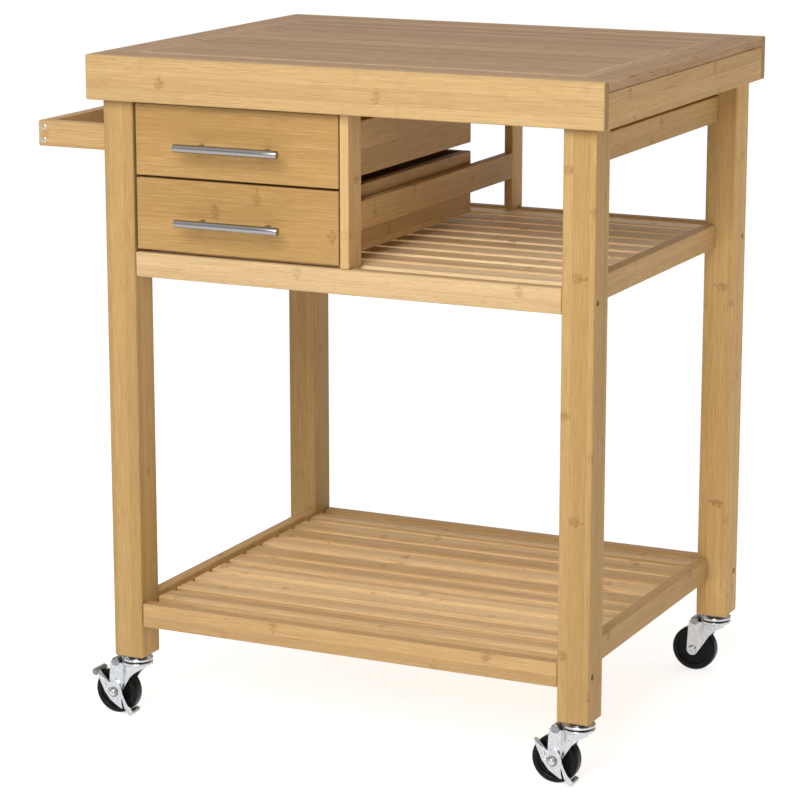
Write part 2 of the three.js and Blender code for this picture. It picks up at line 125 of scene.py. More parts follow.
# ---- material nodes ----------------------------------------------------------------------
class Tree:
    """Short calls for the nodes of one material."""

    def __init__(self, name):
        self.material = bpy.data.materials.new(name)
        self.material.use_nodes = True
        self.nodes = self.material.node_tree.nodes
        self.links = self.material.node_tree.links
        self.shader = self.nodes["Principled BSDF"]

    def put(self, socket, value):
        if isinstance(value, bpy.types.NodeSocket):
            self.links.new(value, socket)
        else:
            socket.default_value = value

    def math(self, operation, *values):
        node = self.nodes.new("ShaderNodeMath")
        node.operation = operation
        for socket, value in zip(node.inputs, values):
            self.put(socket, value)
        return node.outputs[0]

    def step(self, value, low, high, at_low=0.0, at_high=1.0):
        """Goes smoothly from at_low to at_high as value goes from low to high."""
        node = self.nodes.new("ShaderNodeMapRange")
        node.interpolation_type = "SMOOTHSTEP"
        for socket, number in zip(node.inputs, (value, low, high, at_low, at_high)):
            self.put(socket, number)
        return node.outputs[0]

    def vector(self, x, y, z):
        node = self.nodes.new("ShaderNodeCombineXYZ")
        for socket, value in zip(node.inputs, (x, y, z)):
            self.put(socket, value)
        return node.outputs[0]

    def noise(self, vector, detail=2.0, roughness=0.5):
        node = self.nodes.new("ShaderNodeTexNoise")
        node.inputs["Scale"].default_value = 1.0
        node.inputs["Detail"].default_value = detail
        node.inputs["Roughness"].default_value = roughness
        self.put(node.inputs["Vector"], vector)
        return node.outputs[0]

    def random(self, vector):
        """Three random numbers for each cell of whole-number coordinates."""
        node = self.nodes.new("ShaderNodeTexWhiteNoise")
        node.noise_dimensions = "3D"
        self.put(node.inputs["Vector"], vector)
        split = self.nodes.new("ShaderNodeSeparateColor")
        self.links.new(node.outputs["Color"], split.inputs[0])
        return split.outputs

    def coordinates(self, output):
        """Object gives the place and Normal the surface's direction, in the piece's own space.

        A piece's own space is the row frame at rest."""
        source = self.nodes.new("ShaderNodeTexCoord")
        split = self.nodes.new("ShaderNodeSeparateXYZ")
        self.links.new(source.outputs[output], split.inputs[0])
        return dict(zip("xyz", split.outputs))

    def cloud(self, place, scale, detail=2.0, roughness=0.5):
        """Noise of the same size along all three axes."""
        scaled = [self.math("MULTIPLY", place[axis], scale) for axis in "xyz"]
        return self.noise(self.vector(*scaled), detail, roughness)

    def mix(self, factor, a, b):
        node = self.nodes.new("ShaderNodeMix")
        node.data_type = "RGBA"
        self.put(node.inputs["Factor"], factor)
        self.put(node.inputs["A"], a)
        self.put(node.inputs["B"], b)
        return node.outputs["Result"]

    def bump(self, height, distance, strength):
        node = self.nodes.new("ShaderNodeBump")
        node.inputs["Distance"].default_value = distance
        node.inputs["Strength"].default_value = strength
        self.put(node.inputs["Height"], height)
        self.put(self.shader.inputs["Normal"], node.outputs[0])

    def surface(self, **values):
        for name, value in values.items():
            self.put(self.shader.inputs[name.replace("_", " ")], value)


def bamboo(name, along, across, tones, strip, layer, contrast=1.0, phase=0.0, board=None,
           flecks=0.42, strokes=0.0):
    """Laminated bamboo. The grain runs along one axis, and the strips lie side by side across another.

    tones are the light and dark strip colours, strip and layer the size of one strip, and phase moves
    the pattern. board is the (size, start) of whole boards side by side, which then differ a little in
    tone. flecks is how dark the finest marks between the fibres are, and strokes how dark the longer
    scattered ones."""
    t = Tree(name)
    place = t.coordinates("Object")
    through = ({"x", "y", "z"} - {along, across}).pop()
    u, v, w = place[along], place[across], place[through]

    row = t.math("ADD", t.math("DIVIDE", v, strip), 11.37 + phase)
    depth = t.math("ADD", t.math("DIVIDE", w, layer), 5.71 + phase)
    cell = t.random(t.vector(t.math("FLOOR", row), t.math("FLOOR", depth), phase))
    shade = t.math("MULTIPLY_ADD", cell[0], 0.56 * contrast, 0.5 - 0.28 * contrast)
    drift = t.math("MULTIPLY", cell[1], 9.0)

    def stretched(along_scale, across_scale, detail=2.0, roughness=0.5):
        """Noise drawn out along the grain, different in each strip."""
        return t.noise(
            t.vector(
                t.math("MULTIPLY_ADD", u, along_scale, drift),
                t.math("MULTIPLY", v, across_scale),
                t.math("MULTIPLY", w, across_scale),
            ),
            detail, roughness,
        )

    # Long soft bands, then the cane's fibres: long fine ones, and short dark and pale flecks.
    band = stretched(3.1, 46)
    shade = t.math("ADD", shade, t.math("MULTIPLY_ADD", band, 0.8 * contrast, -0.4 * contrast))
    if board:
        number = t.math("FLOOR", t.math("DIVIDE", t.math("SUBTRACT", v, board[1]), board[0]))
        whole = t.random(t.vector(number, t.math("FLOOR", t.math("MULTIPLY", w, 5)), 3.0))
        shade = t.math("ADD", shade, t.math("MULTIPLY_ADD", whole[1], 0.8, -0.4))
    fibre = stretched(19.0, 900, 3.0, 0.62)
    fleck = stretched(60.0, 1050, 2.0, 0.6)
    streak = stretched(30.0, 420)

    # A node of the cane crosses each strip every so often: a broken dark bar in a soft brown blotch.
    spacing = 0.29
    reach = {"along": 0.0074, "beside": 0.46}  # metres along the grain, and strips across it
    turn = t.math("MULTIPLY_ADD", cell[2], 7.3, t.math("DIVIDE", u, spacing))
    wander = stretched(75.0, 300, 2.0, 0.6)
    gap = t.math("MULTIPLY", t.math("SUBTRACT", t.math("FRACT", turn), 0.5), spacing)
    gap = t.math("ADD", gap, t.math("MULTIPLY_ADD", wander, 0.012, -0.006))
    beside = t.math("SUBTRACT", t.math("FRACT", row), t.math("MULTIPLY_ADD", cell[0], 0.5, 0.25))
    along_part = t.math("POWER", t.math("DIVIDE", gap, reach["along"]), 2.0)
    beside_part = t.math("POWER", t.math("DIVIDE", beside, reach["beside"]), 2.0)
    away = t.math("POWER", t.math("ADD", along_part, beside_part), 0.5)
    bar = t.step(t.math("ABSOLUTE", gap), 0.0003, 0.0016, 1.0, 0.0)
    bar = t.math("MULTIPLY", bar, t.step(streak, 0.36, 0.54))
    blotch = t.step(away, 0.30, 1.15, 1.0, 0.0)
    blotch = t.math("MULTIPLY", blotch, t.step(streak, 0.34, 0.66, 0.30, 1.0))
    ring = t.step(t.math("ABSOLUTE", t.math("SUBTRACT", away, 0.62)), 0.05, 0.22, 1.0, 0.0)
    ring = t.math("MULTIPLY", ring, t.step(wander, 0.40, 0.62))
    knot = t.math("MAXIMUM", t.math("MAXIMUM", bar, t.math("MULTIPLY", blotch, 0.75)), ring)
    knot = t.math("MULTIPLY", knot, t.step(cell[1], 0.15, 0.95, 0.12, 1.0))

    # The glue line between strips.
    edge = t.math("FRACT", row)
    edge = t.math("MULTIPLY", t.math("MINIMUM", edge, t.math("SUBTRACT", 1.0, edge)), strip)
    seam = t.step(edge, 0.00012, 0.0005, 1.0, 0.0)

    light, dark = (linear(tone) for tone in tones)
    colour = t.mix(t.step(shade, 0.0, 1.0), dark, light)
    colour = t.mix(t.step(fibre, 0.50, 0.76, 0.0, 0.36), colour, linear((130, 90, 48)))
    colour = t.mix(t.step(fibre, 0.48, 0.24, 0.0, 0.24), colour, linear((238, 206, 154)))
    colour = t.mix(t.step(fleck, 0.54, 0.78, 0.0, flecks), colour, linear((120, 82, 44)))
    if strokes:
        stroke = stretched(26.0, 300, 1.0)
        colour = t.mix(t.step(stroke, 0.62, 0.72, 0.0, strokes), colour, linear((104, 74, 48)))
    colour = t.mix(t.math("MULTIPLY", knot, 0.66), colour, linear((124, 82, 42)))
    colour = t.mix(t.math("MULTIPLY", seam, 0.16), colour, linear((118, 82, 48)))
    # Across the grain, where a board is cut off, its fibres show end on as close dark dots.
    cut_off = t.step(t.math("ABSOLUTE", t.coordinates("Normal")[along]), 0.55, 0.85)
    dots = t.noise(t.vector(t.math("MULTIPLY", v, 1500), t.math("MULTIPLY", w, 1500), 0.0), 2.0, 0.6)
    end_grain = t.mix(t.step(dots, 0.42, 0.62), linear((150, 118, 76)), linear((104, 74, 42)))
    colour = t.mix(t.math("MULTIPLY", cut_off, 0.7), colour, end_grain)
    roughness = t.math("MULTIPLY_ADD", fibre, 0.20, 0.46)
    height = t.math("MULTIPLY_ADD", fibre, 0.5, t.math("MULTIPLY", fleck, 0.3))
    height = t.math("SUBTRACT", height, t.math("MULTIPLY", seam, 0.5))
    height = t.math("SUBTRACT", height, t.math("MULTIPLY", knot, 0.25))
    t.bump(height, 0.00025, 0.5)
    t.surface(
        Base_Color=colour,
        Roughness=roughness,
        Specular_IOR_Level=0.16,
        Coat_Weight=0.03,
        Coat_Roughness=0.3,
    )
    return t.material


def brushed_steel(name, along):
    """Bright steel with fine scratches round the bar."""
    t = Tree(name)
    place = t.coordinates("Object")
    others = [place[axis] for axis in "xyz" if axis != along]
    scratch = t.noise(
        t.vector(
            t.math("MULTIPLY", place[along], 5200),
            t.math("MULTIPLY", others[0], 90),
            t.math("MULTIPLY", others[1], 90),
        ),
        3.0, 0.6,
    )
    t.bump(scratch, 0.00002, 0.2)
    t.surface(
        Base_Color=t.mix(scratch, linear((138, 136, 134)), linear((176, 174, 172))),
        Metallic=1.0,
        Roughness=t.math("MULTIPLY_ADD", scratch, 0.08, 0.11),
    )
    return t.material


def zinc(name, tint=(206, 209, 213), rough=0.22):
    """Bright zinc plate: cloudy, faintly spangled and slightly worn."""
    t = Tree(name)
    place = t.coordinates("Object")
    cloud = t.cloud(place, 210, 3.0, 0.6)
    grain = t.cloud(place, 2600)
    dark = tuple(c * 0.93 for c in tint)
    t.bump(t.math("MULTIPLY_ADD", cloud, 1.0, t.math("MULTIPLY", grain, 0.2)), 0.00006, 0.15)
    t.surface(
        Base_Color=t.mix(t.step(cloud, 0.34, 0.66), linear(dark), linear(tint)),
        Metallic=1.0,
        Roughness=t.math(
            "ADD",
            t.math("MULTIPLY_ADD", cloud, 0.10, rough - 0.05),
            t.math("MULTIPLY", grain, 0.05),
        ),
    )
    return t.material


def black_plastic(name):
    """Moulded black plastic with a fine grain and a slight gloss."""
    t = Tree(name)
    place = t.coordinates("Object")
    grain = t.cloud(place, 1900)
    wear = t.cloud(place, 95, 3.0, 0.65)
    t.bump(grain, 0.00005, 0.3)
    t.surface(
        Base_Color=t.mix(t.step(wear, 0.4, 0.75), linear((9, 9, 10)), linear((18, 18, 19))),
        Roughness=t.math("MULTIPLY_ADD", wear, 0.20, 0.22),
        Specular_IOR_Level=0.15,
    )
    return t.material


# How the strips are cut in boards of one kind, which several materials share.
LEG_CUT = {"strip": 0.0205, "layer": 0.0075, "contrast": 0.6}
RAIL_CUT = {"strip": 0.0165, "contrast": 0.7}
SLAT_CUT = {"strip": 0.0165, "layer": 0.010, "board": SLAT_BOARDS}
TOP_CUT = {"layer": 0.012, "contrast": 0.8, "flecks": 0.6, "strokes": 0.6}
WOOD = {
    "fascia": bamboo("bamboo_fascia", "x", "z", FASCIA_TONES, strip=0.019, layer=0.012, contrast=0.75),
    "band": bamboo("bamboo_band", "y", "z", RAIL_TONES, strip=0.019, layer=0.03, contrast=0.8, phase=0.4),
    "leg": bamboo("bamboo_leg", "z", "x", LEG_TONES, **LEG_CUT),
    # Paler copy of the leg bamboo, painted light; the next, darker copy is painted shade.
    "leg_painted_light": bamboo("bamboo_leg_painted_light", "z", "x", LEG_PAINTED_LIGHT_TONES, **LEG_CUT),
    "leg_painted_shade": bamboo("bamboo_leg_painted_shade", "z", "x", LEG_PAINTED_SHADE_TONES, **LEG_CUT),
    "rail_x": bamboo("bamboo_rail_x", "x", "z", RAIL_TONES, layer=0.016, phase=0.2, **RAIL_CUT),
    # Paler copy of the rail bamboo: painted light.
    "rail_painted_light": bamboo("bamboo_rail_painted_light", "x", "z", RAIL_PAINTED_LIGHT_TONES, layer=0.016, phase=0.8, **RAIL_CUT),
    "rail_y": bamboo("bamboo_rail_y", "y", "z", RAIL_TONES, layer=0.015, phase=0.6, **RAIL_CUT),
    "slat": bamboo("bamboo_slat", "x", "y", SLAT_TONES, **SLAT_CUT),
    # Paler copy of the slat bamboo: painted light.
    "slat_painted_light": bamboo("bamboo_slat_painted_light", "x", "y", MIDDLE_SLAT_PAINTED_LIGHT_TONES, **SLAT_CUT),
    # The drawer fronts' darker bamboo is partly painted shade.
    "front": bamboo("bamboo_front", "x", "z", FRONT_TONES, strip=0.0223, layer=0.015,
                    contrast=0.6, phase=0.3),
    "batten": bamboo("bamboo_batten", "y", "x", RAIL_TONES, strip=0.018, layer=0.02, contrast=0.7),
    # The divider posts' paler bamboo: painted light.
    "post": bamboo("bamboo_post", "z", "y", POST_PAINTED_LIGHT_TONES, strip=0.0175, layer=0.0116, contrast=0.6, phase=0.5),
    "sheet": bamboo("bamboo_sheet", "x", "y", RAIL_TONES, strip=0.021, layer=0.005, contrast=0.8),
    # The top's darker, greyer bamboo: painted shade and sheen.
    "top_x": bamboo("bamboo_top_x", "x", "y", TOP_PAINTED_SHADE_TONES, strip=0.0198, **TOP_CUT),
    "top_y": bamboo("bamboo_top_y", "y", "x", TOP_PAINTED_SHADE_TONES, strip=0.0166, phase=0.7, **TOP_CUT),
    # Pale bamboo for the line round the centre panel: painted highlight.
    "highlight_line": bamboo("bamboo_painted_groove_highlight", "x", "y", GROOVE_HIGHLIGHT_TONES, strip=0.021, layer=0.02, contrast=0.4, phase=0.9),
}
STEEL = brushed_steel("brushed_steel_bar", "x")
ZINC = zinc("zinc_plate")
# A darker copy of the zinc: painted shade, for zinc parts in bores and in the shade of other parts.
ZINC_PAINTED_SHADE = zinc("zinc_shaded", tint=(150, 152, 156), rough=0.34)
BLACK = black_plastic("black_plastic")


# ---- boards kept from the CAD --------------------------------------------------------------
def soften(piece, width):
    """Rounds a piece's sharp edges."""
    bevel = piece.modifiers.new("soften", "BEVEL")
    bevel.width = width
    bevel.segments = 2
    bevel.limit_method = "ANGLE"
    bevel.angle_limit = EDGE_ANGLE


def dress(node, material, round_by=0.0007):
    """Gives a CAD node its material, and rounds its edges a little."""
    piece = nodes[node]
    piece.data.materials.clear()
    piece.data.materials.append(material)
    weld = piece.modifiers.new("weld", "WELD")
    weld.merge_threshold = 1e-5
    soften(piece, round_by)


# The back right leg takes the paler copy as painted light, the back left leg the darker copy as painted
# shade.
LEG_WOOD = {"leg_back_right": "leg_painted_light", "leg_back_left": "leg_painted_shade"}
for node in nodes:
    if node.startswith("leg_"):
        dress(node, WOOD[LEG_WOOD.get(node, "leg")], 0.0009)
    elif node in ("worktop_front_board", "worktop_back_board"):
        dress(node, WOOD["fascia"], 0.0008)
    elif node in ("worktop_left_band", "worktop_right_band"):
        dress(node, WOOD["band"])
    elif node == "worktop_cross_batten":
        dress(node, WOOD["batten"])
    elif node.endswith("_slats"):
        # The middle shelf's slats take the paler copy: painted light.
        dress(node, WOOD["slat_painted_light" if node.startswith("middle") else "slat"], 0.0006)
    elif node == "middle_shelf_rail_front":
        # The middle shelf's front rail takes the paler copy: painted light.
        dress(node, WOOD["rail_painted_light"])
    elif node.startswith("divider_post"):
        # Paler bamboo on the divider posts: painted light.
        dress(node, WOOD["post"], 0.0005)
    elif node.endswith(("rail_front", "rail_back")) or node.startswith("towel_arm"):
        dress(node, WOOD["rail_x"])
    elif node.endswith("drawer_front"):
        # The drawer fronts' darker tone is partly painted shade.
        dress(node, WOOD["front"], 0.0006)
    elif node.endswith("drawer_bottom"):
        dress(node, WOOD["sheet"], 0.0003)
    elif node.endswith("drawer_back"):
        dress(node, WOOD["rail_x"], 0.0005)
    elif node.endswith(("rail_left", "rail_right", "side_left", "side_right")) or node.startswith(
        ("drawer_runner", "towel_bar")
    ):
        dress(node, WOOD["rail_y"], 0.0005)


# ---- mesh helpers ------------------------------------------------------------------------
def finished(name, mesh, materials, body, replaces=(), bevel=0.0, smooth=35):
    """A bmesh in row-frame metres as a piece that rides on a CAD body.

    Edges sharper than smooth degrees stay sharp in the shading, and bevel rounds them."""
    bmesh.ops.recalc_face_normals(mesh, faces=mesh.faces)
    data = bpy.data.meshes.new(name)
    mesh.to_mesh(data)
    mesh.free()
    piece = bpy.data.objects.new(name, data)
    bpy.context.scene.collection.objects.link(piece)
    for one in materials:
        data.materials.append(one)
    data.set_sharp_from_angle(angle=math.radians(smooth))
    if bevel:
        soften(piece, bevel)
    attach(piece, body)
    if replaces:
        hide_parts(*replaces)
    return piece


def turned(mesh, profile, axis, centre, steps=48, material=0):
    """Turns (radius, height) pairs about an axis through centre. A radius of 0 closes the end."""
    rings = []
    for radius, height in profile:
        count = 1 if radius < 1e-9 else steps
        ring = []
        for i in range(count):
            a = 2 * math.pi * i / steps
            c, s = radius * math.cos(a), radius * math.sin(a)
            at = {"x": (height, c, s), "y": (c, height, s), "z": (c, s, height)}[axis]
            ring.append(mesh.verts.new(Vector(centre) + Vector(at)))
        rings.append(ring)
    made = []
    for low, high in zip(rings, rings[1:]):
        for i in range(steps):
            j = (i + 1) % steps
            corners = [low[i % len(low)], low[j % len(low)], high[j % len(high)], high[i % len(high)]]
            unique = list(dict.fromkeys(corners))
            if len(unique) > 2:
                made.append(mesh.faces.new(unique))
    for face in made:
        face.material_index = material
        face.smooth = True
    return made


def prism(mesh, outline, low, high, axis="z", material=0):
    """A closed outline of point pairs, drawn out along an axis between two heights."""
    def at(pair, height):
        a, b = pair
        return {"z": (a, b, height), "y": (a, height, b), "x": (height, a, b)}[axis]

    under = [mesh.verts.new(at(pair, low)) for pair in outline]
    over = [mesh.verts.new(at(pair, high)) for pair in outline]
    count = len(outline)
    faces = [mesh.faces.new(under[::-1]), mesh.faces.new(over)]
    for i in range(count):
        j = (i + 1) % count
        faces.append(mesh.faces.new([under[i], under[j], over[j], over[i]]))
    for face in faces:
        face.material_index = material
    return faces


# ---- worktop: a centre panel framed by four mitred boards ---------------------------------
def worktop():
    low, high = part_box("worktop_slab")
    middle = (low + high) / 2
    half_x, half_y = (high.x - low.x) / 2, (high.y - low.y) / 2
    full_y = half_y + WORKTOP["fascia"]
    line_x, line_y = half_x - WORKTOP["border"], full_y - WORKTOP["border"]
    gap, highlight_line = WORKTOP["joint"], WORKTOP["highlight_line"]
    reach = half_x - (full_y - half_y)  # where a mitre meets the slab's long edge

    def place(points):
        return [(middle.x + x, middle.y + y) for x, y in points]

    mesh = bmesh.new()
    inner_x, inner_y = line_x - gap - highlight_line, line_y - gap - highlight_line
    centre = [(-inner_x, -inner_y), (inner_x, -inner_y), (inner_x, inner_y), (-inner_x, inner_y)]
    prism(mesh, place(centre), low.z, high.z, material=0)
    # A pale line between the centre panel and the boards: a painted highlight, where the groove between them
    # catches light.
    out_x, out_y = line_x - gap, line_y - gap
    highlight_line_z = (high.z - WORKTOP["highlight_line_deep"], high.z + WORKTOP["highlight_line_proud"])
    for side in (-1, 1):
        long_strip = [(-out_x, side * out_y), (out_x, side * out_y),
                      (inner_x, side * inner_y), (-inner_x, side * inner_y)]
        end_strip = [(side * out_x, -out_y), (side * out_x, out_y),
                     (side * inner_x, inner_y), (side * inner_x, -inner_y)]
        for strip in (long_strip, end_strip):
            prism(mesh, place(strip), *highlight_line_z, material=2)
    for side in (-1, 1):
        long_board = [(-reach + gap, side * half_y), (reach - gap, side * half_y),
                      (line_x - gap, side * (line_y + gap)), (-line_x + gap, side * (line_y + gap))]
        prism(mesh, place(long_board), low.z, high.z, material=0)
        end_board = [(side * (line_x + gap), -line_y), (side * (reach + gap), -half_y),
                     (side * half_x, -half_y), (side * half_x, half_y),
                     (side * (reach + gap), half_y), (side * (line_x + gap), line_y)]
        prism(mesh, place(end_board), low.z, high.z, material=1)
    materials = [WOOD["top_x"], WOOD["top_y"], WOOD["highlight_line"]]
    finished("worktop_boards", mesh, materials, "frame",
             replaces=["worktop_slab"], bevel=0.0006)


worktop()


# ---- side rails under the worktop, rebated above so that a dark line shows under the band ----
def side_rail(side):
    node = f"top_side_rail_{side}"
    low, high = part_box(node)
    right_low, right_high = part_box("top_side_rail_right")
    thick = right_high.x - right_low.x
    sign = 1 if side == "right" else -1
    outer = high.x if sign > 0 else low.x
    inner = outer - sign * thick
    step = outer - sign * REBATE["deep"]
    outline = [(inner, low.z), (outer, low.z), (outer, REBATE["z"]),
               (step, REBATE["z"]), (step, high.z), (inner, high.z)]
    mesh = bmesh.new()
    prism(mesh, outline, low.y, high.y, axis="y")
    if side == "left":
        # The tongue that the upper drawer slides on.
        foot, top = TONGUE["z"]
        tongue = [(inner - 0.001, foot), (high.x, foot), (high.x, top), (inner - 0.001, top)]
        prism(mesh, tongue, low.y + TONGUE["front_gap"], TONGUE["back"], axis="y")
    finished(f"{node}_board", mesh, [WOOD["rail_y"]], "frame",
             replaces=[node], bevel=0.0005)


for side in ("left", "right"):
    side_rail(side)


# ---- drawer pulls --------------------------------------------------------------------------
def pull(drawer):
    low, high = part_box(f"{drawer}_pull")
    radius, post_radius = PULL["radius"], PULL["post"]
    middle_x, z = (low.x + high.x) / 2, (low.z + high.z) / 2
    half = (high.x - low.x) / 2
    mesh = bmesh.new()
    # The bar's ends are slightly rounded.
    end = [(0, -half), (radius - 0.0007, -half), (radius - 0.0002, -half + 0.0002),
           (radius, -half + 0.0007)]
    turned(mesh, end + [(r, -h) for r, h in reversed(end)], "x", (middle_x, low.y + radius, z), 56)
    root, foot = radius * 0.6, high.y - low.y - radius
    post = [(0, root), (post_radius, root), (post_radius, foot), (0, foot)]
    for side in (-1, 1):
        turned(mesh, post, "y", (middle_x + side * PULL["post_at"], low.y + radius, z), 32)
    finished(f"{drawer}_bar_pull", mesh, [STEEL], drawer, replaces=[f"{drawer}_pull"])


for drawer in ("lower_drawer", "upper_drawer"):
    pull(drawer)


# ---- bolts in the legs and screws in the towel rail -----------------------------------------
def socket_bolt(name, centre, outward):
    """A cylinder-head bolt with a round socket, sunk in its bore. outward is -1 or 1 along X."""
    mesh = bmesh.new()
    r = BOLT["radius"]
    profile = [(0, -0.002), (r, -0.002), (r, 0.0014), (r - 0.0004, 0.0018), (0.0021, 0.0018),
               (0.0018, 0.0016), (0.0018, 0.0002), (0, 0.0002)]
    turned(mesh, [(a, outward * h) for a, h in profile], "x", centre, 36)
    # The head takes the darker zinc: painted shade of the bore it sits in.
    finished(name, mesh, [ZINC_PAINTED_SHADE], "frame")


for corner in CORNERS:
    low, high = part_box(f"leg_{corner}")
    outward = -1 if "left" in corner else 1
    face = low.x if outward < 0 else high.x
    y = low.y + BOLT["inset"] if "front" in corner else high.y - BOLT["inset"]
    for level in ("middle", "lower"):
        rail_low, rail_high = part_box(f"{level}_shelf_rail_front")
        z = (rail_low.z + rail_high.z) / 2
        socket_bolt(f"leg_bolt_{corner}_{level}", (face - outward * BOLT["sunk"], y, z), outward)


def cross_screw(name, centre, outward):
    """A flat-topped screw head with a cross recess. outward is -1 or 1 along Y."""
    mesh = bmesh.new()
    x, y, z = centre
    r, flat = SCREW["radius"], SCREW["flat"]
    head = [(0, -0.001), (r, -0.001), (r, 0.0001), (r - 0.0005, 0.0004), (flat, 0.0005)]
    turned(mesh, [(a, outward * h) for a, h in head], "y", centre, 36)
    arm = [(0.0021, 0.0006), (0.0006, 0.0006), (0.0006, 0.0021)]
    outline = []
    for quarter in range(4):
        turn = Matrix.Rotation(quarter * math.pi / 2, 2)
        outline += [turn @ Vector(pair) for pair in arm]
    cross = [mesh.verts.new((x + p.x, y + outward * 0.0005, z + p.y)) for p in outline]
    floor = [mesh.verts.new((x + p.x * 0.8, y - outward * 0.0006, z + p.y * 0.8)) for p in outline]
    count = len(cross)
    for i in range(count):
        j = (i + 1) % count
        mesh.faces.new([cross[i], cross[j], floor[j], floor[i]])
    mesh.faces.new(floor)
    # The flat between the cross and the head's rim.
    rim = [v for v in mesh.verts if abs((v.co.xz - Vector((x, z))).length - flat) < 1e-6]
    rim.sort(key=lambda v: math.atan2(v.co.z - z, v.co.x - x))
    edges = []
    for loop in (rim, cross):
        for pair in zip(loop, loop[1:] + loop[:1]):
            edges.append(mesh.edges.get(pair) or mesh.edges.new(pair))
    bmesh.ops.triangle_fill(mesh, use_beauty=True, use_dissolve=False, edges=edges)
    finished(name, mesh, [ZINC], "frame")


for where, outward in (("front", -1), ("back", 1)):
    low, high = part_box(f"towel_arm_{where}")
    face = low.y if outward < 0 else high.y
    for row, z in (("upper", high.z - SCREW["from_edge"]), ("lower", low.z + SCREW["from_edge"])):
        cross_screw(f"towel_screw_{where}_{row}", (low.x + SCREW["from_end"], face, z), outward)


# ---- casters, with their profiles in millimetres ---------------------------------------------
def millimetres(profile, side=1):
    """A profile in metres, from (radius, height) in millimetres. side -1 turns it over."""
    return [(radius * MM, side * height * MM) for radius, height in profile]


def both_ends(profile):
    """The same profile on both sides of height 0, from the far side to the near one."""
    return profile + [(radius, -height) for radius, height in reversed(profile)]


def caster_wheel(corner, x, y):
    centre = (x - TRAIL, y, AXLE_Z)
    round_by = WHEEL["shoulder"]
    hub = [(3.4, 9.8), (7.2, 9.8), (8.0, 9.4), (8.6, 8.0), (9.2, 6.9)]
    disc = [(20.6, 6.9), (21.4, 7.2), (22.0, 8.6), (22.6, 9.0), (25.6, 9.0)]
    shoulder = []
    for degrees in (12, 28, 44, 60, 76, 90):
        a = math.radians(degrees)
        shoulder.append((WHEEL["radius"] - round_by + round_by * math.sin(a),
                         WHEEL["half"] - round_by + round_by * math.cos(a)))
    profile = millimetres(both_ends(hub + disc + shoulder))
    mesh = bmesh.new()
    turned(mesh, profile + profile[:1], "y", centre, 72)
    # Shallow rings on the side faces.
    for side in (-1, 1):
        for ring in (12.5, 17.5):
            loop = [(ring - 0.5, 6.8), (ring - 0.35, 7.15), (ring, 7.3), (ring + 0.35, 7.15),
                    (ring + 0.5, 6.8)]
            turned(mesh, millimetres(loop, side), "y", centre, 72)
    bmesh.ops.remove_doubles(mesh, verts=mesh.verts, dist=1e-6)
    finished(f"caster_{corner}_moulded_wheel", mesh, [BLACK], f"caster_{corner}_wheel",
             replaces=[f"caster_{corner}_wheel"], smooth=28)


def caster_stem(corner, x, y):
    profile = [(0, 73.4), (15.5, 73.4), (18.2, 73.8), (19.6, 74.7), (20.1, 75.9), (20.2, 77.2),
               (19.9, 77.7), (19.4, 77.8), (18.9, 77.5), (18.6, 76.6), (17.6, 75.5), (15.0, 75.2),
               (12.6, 75.2), (12.0, 75.8), (12.0, 82.2), (5.0, 82.2)]
    for i in range(12):  # the thread up in the leg
        z = 84 + i * 2.8
        profile += [(5.0, z), (4.5, z + 0.7), (4.5, z + 1.4), (5.0, z + 2.1)]
    profile += [(4.0, 118.4), (0, 118.4)]
    mesh = bmesh.new()
    turned(mesh, millimetres(profile), "z", (x, y, 0), 56)
    finished(f"caster_{corner}_stem_race", mesh, [ZINC], "frame",
             replaces=[f"caster_{corner}_stem"])


def cheek_foot(x):
    """Height of a cheek's lower edge at x, which is in millimetres from the swivel axis."""
    if x <= -21.6:
        return 30 - math.sqrt(max(0.0, 7.8 ** 2 - (x + 28) ** 2))
    points = [(-21.6, 25.53), (-12, 40), (-3, 53), (4, 59.5), (10, 63.6), (16.5, 66.5)]
    for (x0, z0), (x1, z1) in zip(points, points[1:]):
        if x <= x1:
            return z0 + (z1 - z0) * (x - x0) / (x1 - x0)
    return points[-1][1]


def cheek(mesh, x, y, side):
    """One cheek of the fork: a flat strip down to the axle, and a flare out to the round crown."""
    columns = [-35.8, -35.6, -35.0, -34.0, -32.6, -31, -29.5, -28, -26.5, -25, -23.4, -22.2, -21.0,
               -19.9, FOLD, -18.5, VALLEY, -16.5, -14, -11, -8.5, -6, -3, 0, 3, 6, 9, 12, 14.5,
               CHEEK["front"]]
    rows = 10
    wheel, behind, front = CHEEK["wheel"], CHEEK["behind"], CHEEK["front"]
    outer, inner = [], []
    for cx in columns:
        foot = cheek_foot(cx)
        if cx <= FOLD:
            top = bottom = wheel
        elif cx <= VALLEY:
            top = bottom = wheel - (wheel - behind) * (cx - FOLD) / (VALLEY - FOLD)
        else:
            top = max(behind, math.sqrt(CHEEK["crown"] ** 2 - cx ** 2))
            bottom = behind + (top - behind) * ((cx - VALLEY) / (front - VALLEY)) ** 0.7
        line_out, line_in = [], []
        for row in range(rows + 1):
            f = row / rows
            z = foot + (CHEEK["top"] - foot) * f
            spread = bottom + (top - bottom) * f
            # The strip leans forward towards the crown.
            across = cx + CHEEK["lean"] * f * min(1.0, (front - cx) / (front - FOLD))
            for line, out in ((line_out, spread), (line_in, spread - CHEEK["plate"])):
                line.append(mesh.verts.new((x + across * MM, y + side * out * MM, z * MM)))
        outer.append(line_out)
        inner.append(line_in)
    for a, b, c, d in zip(outer, outer[1:], inner, inner[1:]):
        for row in range(rows):
            mesh.faces.new([a[row], b[row], b[row + 1], a[row + 1]]).smooth = True
            mesh.faces.new([c[row], c[row + 1], d[row + 1], d[row]]).smooth = True
        mesh.faces.new([a[0], c[0], d[0], b[0]])
        mesh.faces.new([a[rows], b[rows], d[rows], c[rows]])
    for row in range(rows):
        mesh.faces.new([outer[0][row], outer[0][row + 1], inner[0][row + 1], inner[0][row]])
        mesh.faces.new([outer[-1][row], inner[-1][row], inner[-1][row + 1], outer[-1][row + 1]])


